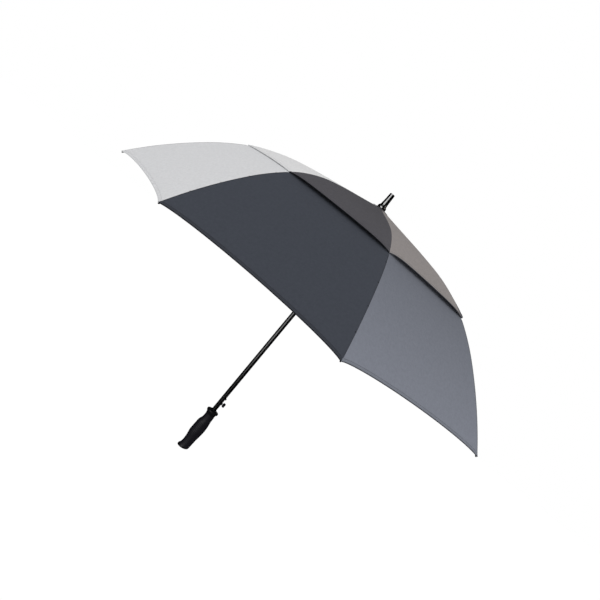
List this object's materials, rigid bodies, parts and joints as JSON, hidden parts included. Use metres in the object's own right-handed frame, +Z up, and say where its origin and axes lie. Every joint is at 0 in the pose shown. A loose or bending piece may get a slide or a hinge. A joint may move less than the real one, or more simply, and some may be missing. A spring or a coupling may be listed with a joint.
{
  "type": "golf umbrella",
  "caption": "Automatic golf umbrella with a double vented canopy in light, grey and charcoal panels, a black shaft, ferrule and contoured sport grip with a push button.",
  "frame": {"origin": "lowest point of the handle, on the shaft's axis, where the umbrella is held", "axes": "+Z up the shaft towards the ferrule, +X towards the push button, ribs at multiples of 45 degrees"},
  "size_m": [1.2992, 1.2992, 0.958],
  "materials": {
    "black_fibreglass": "satin black fibreglass",
    "black_steel": "black enamelled steel",
    "grip_rubber": "matte soft-touch",
    "grip_trim": "fine-grained",
    "moulded_plastic": "moulded nylon",
    "gloss_black": "polished",
    "spring_steel": "bright drawn wire",
    "charcoal_cloth": "coated pongee",
    "white_cloth": "coated pongee",
    "grey_cloth": "coated pongee"
  },
  "bodies": {
    "frame": {"shaft": "black_fibreglass", "shaft_plug": "moulded_plastic", "handle_grip": "grip_rubber", "handle_end_cap": "grip_trim", "handle_collar": "grip_trim", "button_spring": "spring_steel", "latch_pin": "spring_steel", "ferrule": "gloss_black", "crown_cap": "gloss_black", "crown_rosette": "charcoal_cloth", "crown_notch": "moulded_plastic", "crown_wire": "spring_steel", "crown_pin": "spring_steel", "main_spring": "spring_steel"},
    "button": {"push_button": "grip_trim"},
    "catch": {"latch_catch": "moulded_plastic"},
    "runner": {"runner": "moulded_plastic", "runner_wire": "spring_steel", "spring_plunger": "moulded_plastic"},
    "rib_1": {"rib_1": "black_fibreglass"},
    "rib_end_1": {"rib_end_1": "black_fibreglass"},
    "stretcher_1": {"stretcher_1": "black_steel"},
    "vent_panel_1": {"vent_panel_1": "white_cloth"},
    "main_panel_1": {"main_panel_1": "white_cloth"},
    "rib_2": {"rib_2": "black_fibreglass"},
    "rib_end_2": {"rib_end_2": "black_fibreglass"},
    "stretcher_2": {"stretcher_2": "black_steel"},
    "vent_panel_2": {"vent_panel_2": "charcoal_cloth"},
    "main_panel_2": {"main_panel_2": "charcoal_cloth", "tie_strap": "charcoal_cloth"},
    "rib_3": {"rib_3": "black_fibreglass"},
    "rib_end_3": {"rib_end_3": "black_fibreglass"},
    "stretcher_3": {"stretcher_3": "black_steel"},
    "vent_panel_3": {"vent_panel_3": "grey_cloth"},
    "main_panel_3": {"main_panel_3": "grey_cloth"},
    "rib_4": {"rib_4": "black_fibreglass"},
    "rib_end_4": {"rib_end_4": "black_fibreglass"},
    "stretcher_4": {"stretcher_4": "black_steel"},
    "vent_panel_4": {"vent_panel_4": "charcoal_cloth"},
    "main_panel_4": {"main_panel_4": "charcoal_cloth"},
    "rib_5": {"rib_5": "black_fibreglass"},
    "rib_end_5": {"rib_end_5": "black_fibreglass"},
    "stretcher_5": {"stretcher_5": "black_steel"},
    "vent_panel_5": {"vent_panel_5": "white_cloth"},
    "main_panel_5": {"main_panel_5": "white_cloth"},
    "rib_6": {"rib_6": "black_fibreglass"},
    "rib_end_6": {"rib_end_6": "black_fibreglass"},
    "stretcher_6": {"stretcher_6": "black_steel"},
    "vent_panel_6": {"vent_panel_6": "charcoal_cloth"},
    "main_panel_6": {"main_panel_6": "charcoal_cloth"},
    "rib_7": {"rib_7": "black_fibreglass"},
    "rib_end_7": {"rib_end_7": "black_fibreglass"},
    "stretcher_7": {"stretcher_7": "black_steel"},
    "vent_panel_7": {"vent_panel_7": "grey_cloth"},
    "main_panel_7": {"main_panel_7": "grey_cloth"},
    "rib_8": {"rib_8": "black_fibreglass"},
    "rib_end_8": {"rib_end_8": "black_fibreglass"},
    "stretcher_8": {"stretcher_8": "black_steel"},
    "vent_panel_8": {"vent_panel_8": "charcoal_cloth"},
    "main_panel_8": {"main_panel_8": "charcoal_cloth"}
  },
  "joints": [
    {"name": "fold", "type": "hinge", "parent": "frame", "child": "rib_1", "pos_m": [0.012, 0, 0.897], "axis": [0, 1, 0], "range_deg": [0, 73.47], "stiffness_Nm_per_rad": 8.1, "springref_deg": -24.98, "deforming": ["main_spring"]},
    {"name": "rib_1_bend", "type": "hinge", "parent": "rib_1", "child": "rib_end_1", "pos_m": [0.35134, 0, 0.82135], "axis": [0, 1, 0], "range_deg": [-22.55, 0]},
    {"name": "stretcher_1_swing", "type": "hinge", "parent": "rib_1", "child": "stretcher_1", "pos_m": [0.34164, 0, 0.8177], "axis": [0, 1, 0], "range_deg": [-146.99, 0]},
    {"name": "rib_2_fold", "type": "hinge", "parent": "frame", "child": "rib_2", "pos_m": [0.00848, 0.00848, 0.897], "axis": [-0.7071, 0.7071, 0], "range_deg": [0, 73.47]},
    {"name": "rib_2_bend", "type": "hinge", "parent": "rib_2", "child": "rib_end_2", "pos_m": [0.24843, 0.24843, 0.82135], "axis": [-0.7071, 0.7071, 0], "range_deg": [-22.55, 0]},
    {"name": "stretcher_2_swing", "type": "hinge", "parent": "rib_2", "child": "stretcher_2", "pos_m": [0.24157, 0.24157, 0.8177], "axis": [-0.7071, 0.7071, 0], "range_deg": [-146.99, 0]},
    {"name": "rib_3_fold", "type": "hinge", "parent": "frame", "child": "rib_3", "pos_m": [0, 0.012, 0.897], "axis": [-1, 0, 0], "range_deg": [0, 73.47]},
    {"name": "rib_3_bend", "type": "hinge", "parent": "rib_3", "child": "rib_end_3", "pos_m": [0, 0.35134, 0.82135], "axis": [-1, 0, 0], "range_deg": [-22.55, 0]},
    {"name": "stretcher_3_swing", "type": "hinge", "parent": "rib_3", "child": "stretcher_3", "pos_m": [0, 0.34164, 0.8177], "axis": [-1, 0, 0], "range_deg": [-146.99, 0]},
    {"name": "rib_4_fold", "type": "hinge", "parent": "frame", "child": "rib_4", "pos_m": [-0.00848, 0.00848, 0.897], "axis": [-0.7071, -0.7071, 0], "range_deg": [0, 73.47]},
    {"name": "rib_4_bend", "type": "hinge", "parent": "rib_4", "child": "rib_end_4", "pos_m": [-0.24843, 0.24843, 0.82135], "axis": [-0.7071, -0.7071, 0], "range_deg": [-22.55, 0]},
    {"name": "stretcher_4_swing", "type": "hinge", "parent": "rib_4", "child": "stretcher_4", "pos_m": [-0.24157, 0.24157, 0.8177], "axis": [-0.7071, -0.7071, 0], "range_deg": [-146.99, 0]},
    {"name": "rib_5_fold", "type": "hinge", "parent": "frame", "child": "rib_5", "pos_m": [-0.012, 0, 0.897], "axis": [0, -1, 0], "range_deg": [0, 73.47]},
    {"name": "rib_5_bend", "type": "hinge", "parent": "rib_5", "child": "rib_end_5", "pos_m": [-0.35134, 0, 0.82135], "axis": [0, -1, 0], "range_deg": [-22.55, 0]},
    {"name": "stretcher_5_swing", "type": "hinge", "parent": "rib_5", "child": "stretcher_5", "pos_m": [-0.34164, 0, 0.8177], "axis": [0, -1, 0], "range_deg": [-146.99, 0]},
    {"name": "rib_6_fold", "type": "hinge", "parent": "frame", "child": "rib_6", "pos_m": [-0.00848, -0.00848, 0.897], "axis": [0.7071, -0.7071, 0], "range_deg": [0, 73.47]},
    {"name": "rib_6_bend", "type": "hinge", "parent": "rib_6", "child": "rib_end_6", "pos_m": [-0.24843, -0.24843, 0.82135], "axis": [0.7071, -0.7071, 0], "range_deg": [-22.55, 0]},
    {"name": "stretcher_6_swing", "type": "hinge", "parent": "rib_6", "child": "stretcher_6", "pos_m": [-0.24157, -0.24157, 0.8177], "axis": [0.7071, -0.7071, 0], "range_deg": [-146.99, 0]},
    {"name": "rib_7_fold", "type": "hinge", "parent": "frame", "child": "rib_7", "pos_m": [0, -0.012, 0.897], "axis": [1, 0, 0], "range_deg": [0, 73.47]},
    {"name": "rib_7_bend", "type": "hinge", "parent": "rib_7", "child": "rib_end_7", "pos_m": [0, -0.35134, 0.82135], "axis": [1, 0, 0], "range_deg": [-22.55, 0]},
    {"name": "stretcher_7_swing", "type": "hinge", "parent": "rib_7", "child": "stretcher_7", "pos_m": [0, -0.34164, 0.8177], "axis": [1, 0, 0], "range_deg": [-146.99, 0]},
    {"name": "rib_8_fold", "type": "hinge", "parent": "frame", "child": "rib_8", "pos_m": [0.00848, -0.00848, 0.897], "axis": [0.7071, 0.7071, 0], "range_deg": [0, 73.47]},
    {"name": "rib_8_bend", "type": "hinge", "parent": "rib_8", "child": "rib_end_8", "pos_m": [0.24843, -0.24843, 0.82135], "axis": [0.7071, 0.7071, 0], "range_deg": [-22.55, 0]},
    {"name": "stretcher_8_swing", "type": "hinge", "parent": "rib_8", "child": "stretcher_8", "pos_m": [0.24157, -0.24157, 0.8177], "axis": [0.7071, 0.7071, 0], "range_deg": [-146.99, 0]},
    {"name": "runner_pivot", "type": "hinge", "parent": "stretcher_1", "child": "runner", "pos_m": [0.012, 0, 0.73841], "axis": [0, 1, 0], "range_deg": [0, 73.52]},
    {"name": "vent_panel_1_fold", "type": "hinge", "parent": "frame", "child": "vent_panel_1", "pos_m": [0.01024, 0.00424, 0.897], "axis": [-0.3827, 0.9239, 0], "range_deg": [0, 72.68], "deforming": ["vent_panel_1"]},
    {"name": "main_panel_1_bend", "type": "hinge", "parent": "vent_panel_1", "child": "main_panel_1", "pos_m": [0.29989, 0.12422, 0.82135], "axis": [-0.3827, 0.9239, 0], "range_deg": [-24.01, 0], "deforming": ["main_panel_1"]},
    {"name": "vent_panel_2_fold", "type": "hinge", "parent": "frame", "child": "vent_panel_2", "pos_m": [0.00424, 0.01024, 0.897], "axis": [-0.9239, 0.3827, 0], "range_deg": [0, 72.68], "deforming": ["vent_panel_2"]},
    {"name": "main_panel_2_bend", "type": "hinge", "parent": "vent_panel_2", "child": "main_panel_2", "pos_m": [0.12422, 0.29989, 0.82135], "axis": [-0.9239, 0.3827, 0], "range_deg": [-24.01, 0], "deforming": ["main_panel_2", "tie_strap"]},
    {"name": "vent_panel_3_fold", "type": "hinge", "parent": "frame", "child": "vent_panel_3", "pos_m": [-0.00424, 0.01024, 0.897], "axis": [-0.9239, -0.3827, 0], "range_deg": [0, 72.68], "deforming": ["vent_panel_3"]},
    {"name": "main_panel_3_bend", "type": "hinge", "parent": "vent_panel_3", "child": "main_panel_3", "pos_m": [-0.12422, 0.29989, 0.82135], "axis": [-0.9239, -0.3827, 0], "range_deg": [-24.01, 0], "deforming": ["main_panel_3"]},
    {"name": "vent_panel_4_fold", "type": "hinge", "parent": "frame", "child": "vent_panel_4", "pos_m": [-0.01024, 0.00424, 0.897], "axis": [-0.3827, -0.9239, 0], "range_deg": [0, 72.68], "deforming": ["vent_panel_4"]},
    {"name": "main_panel_4_bend", "type": "hinge", "parent": "vent_panel_4", "child": "main_panel_4", "pos_m": [-0.29989, 0.12422, 0.82135], "axis": [-0.3827, -0.9239, 0], "range_deg": [-24.01, 0], "deforming": ["main_panel_4"]},
    {"name": "vent_panel_5_fold", "type": "hinge", "parent": "frame", "child": "vent_panel_5", "pos_m": [-0.01024, -0.00424, 0.897], "axis": [0.3827, -0.9239, 0], "range_deg": [0, 72.68], "deforming": ["vent_panel_5"]},
    {"name": "main_panel_5_bend", "type": "hinge", "parent": "vent_panel_5", "child": "main_panel_5", "pos_m": [-0.29989, -0.12422, 0.82135], "axis": [0.3827, -0.9239, 0], "range_deg": [-24.01, 0], "deforming": ["main_panel_5"]},
    {"name": "vent_panel_6_fold", "type": "hinge", "parent": "frame", "child": "vent_panel_6", "pos_m": [-0.00424, -0.01024, 0.897], "axis": [0.9239, -0.3827, 0], "range_deg": [0, 72.68], "deforming": ["vent_panel_6"]},
    {"name": "main_panel_6_bend", "type": "hinge", "parent": "vent_panel_6", "child": "main_panel_6", "pos_m": [-0.12422, -0.29989, 0.82135], "axis": [0.9239, -0.3827, 0], "range_deg": [-24.01, 0], "deforming": ["main_panel_6"]},
    {"name": "vent_panel_7_fold", "type": "hinge", "parent": "frame", "child": "vent_panel_7", "pos_m": [0.00424, -0.01024, 0.897], "axis": [0.9239, 0.3827, 0], "range_deg": [0, 72.68], "deforming": ["vent_panel_7"]},
    {"name": "main_panel_7_bend", "type": "hinge", "parent": "vent_panel_7", "child": "main_panel_7", "pos_m": [0.12422, -0.29989, 0.82135], "axis": [0.9239, 0.3827, 0], "range_deg": [-24.01, 0], "deforming": ["main_panel_7"]},
    {"name": "vent_panel_8_fold", "type": "hinge", "parent": "frame", "child": "vent_panel_8", "pos_m": [0.01024, -0.00424, 0.897], "axis": [0.3827, 0.9239, 0], "range_deg": [0, 72.68], "deforming": ["vent_panel_8"]},
    {"name": "main_panel_8_bend", "type": "hinge", "parent": "vent_panel_8", "child": "main_panel_8", "pos_m": [0.29989, -0.12422, 0.82135], "axis": [0.3827, 0.9239, 0], "range_deg": [-24.01, 0], "deforming": ["main_panel_8"]},
    {"name": "button_press", "type": "slide", "parent": "frame", "child": "button", "axis": [-1, 0, 0], "range_m": [0, 0.003], "stiffness_N_per_m": 350, "springref_m": -0.002, "deforming": ["button_spring"]},
    {"name": "catch_swing", "type": "hinge", "parent": "frame", "child": "catch", "pos_m": [0, 0, 0.125], "axis": [0, -1, 0], "range_deg": [0, 3.5]}
  ],
  "couplings": [
    {"joint": "rib_1_bend", "follows": "fold", "ratio": -0.3062},
    {"joint": "stretcher_1_swing", "follows": "fold", "ratio": -2},
    {"joint": "rib_2_fold", "follows": "fold", "ratio": 1},
    {"joint": "rib_2_bend", "follows": "fold", "ratio": -0.3062},
    {"joint": "stretcher_2_swing", "follows": "fold", "ratio": -2},
    {"joint": "rib_3_fold", "follows": "fold", "ratio": 1},
    {"joint": "rib_3_bend", "follows": "fold", "ratio": -0.3062},
    {"joint": "stretcher_3_swing", "follows": "fold", "ratio": -2},
    {"joint": "rib_4_fold", "follows": "fold", "ratio": 1},
    {"joint": "rib_4_bend", "follows": "fold", "ratio": -0.3062},
    {"joint": "stretcher_4_swing", "follows": "fold", "ratio": -2},
    {"joint": "rib_5_fold", "follows": "fold", "ratio": 1},
    {"joint": "rib_5_bend", "follows": "fold", "ratio": -0.3062},
    {"joint": "stretcher_5_swing", "follows": "fold", "ratio": -2},
    {"joint": "rib_6_fold", "follows": "fold", "ratio": 1},
    {"joint": "rib_6_bend", "follows": "fold", "ratio": -0.3062},
    {"joint": "stretcher_6_swing", "follows": "fold", "ratio": -2},
    {"joint": "rib_7_fold", "follows": "fold", "ratio": 1},
    {"joint": "rib_7_bend", "follows": "fold", "ratio": -0.3062},
    {"joint": "stretcher_7_swing", "follows": "fold", "ratio": -2},
    {"joint": "rib_8_fold", "follows": "fold", "ratio": 1},
    {"joint": "rib_8_bend", "follows": "fold", "ratio": -0.3062},
    {"joint": "stretcher_8_swing", "follows": "fold", "ratio": -2},
    {"joint": "runner_pivot", "follows": "fold", "ratio": 1},
    {"joint": "vent_panel_1_fold", "follows": "fold", "ratio": 0.9886},
    {"joint": "main_panel_1_bend", "follows": "fold", "ratio": -0.3261},
    {"joint": "vent_panel_2_fold", "follows": "fold", "ratio": 0.9886},
    {"joint": "main_panel_2_bend", "follows": "fold", "ratio": -0.3261},
    {"joint": "vent_panel_3_fold", "follows": "fold", "ratio": 0.9886},
    {"joint": "main_panel_3_bend", "follows": "fold", "ratio": -0.3261},
    {"joint": "vent_panel_4_fold", "follows": "fold", "ratio": 0.9886},
    {"joint": "main_panel_4_bend", "follows": "fold", "ratio": -0.3261},
    {"joint": "vent_panel_5_fold", "follows": "fold", "ratio": 0.9886},
    {"joint": "main_panel_5_bend", "follows": "fold", "ratio": -0.3261},
    {"joint": "vent_panel_6_fold", "follows": "fold", "ratio": 0.9886},
    {"joint": "main_panel_6_bend", "follows": "fold", "ratio": -0.3261},
    {"joint": "vent_panel_7_fold", "follows": "fold", "ratio": 0.9886},
    {"joint": "main_panel_7_bend", "follows": "fold", "ratio": -0.3261},
    {"joint": "vent_panel_8_fold", "follows": "fold", "ratio": 0.9886},
    {"joint": "main_panel_8_bend", "follows": "fold", "ratio": -0.3261},
    {"joint": "catch_swing", "follows": "button_press", "rad_per_m": 19.802}
  ]
}
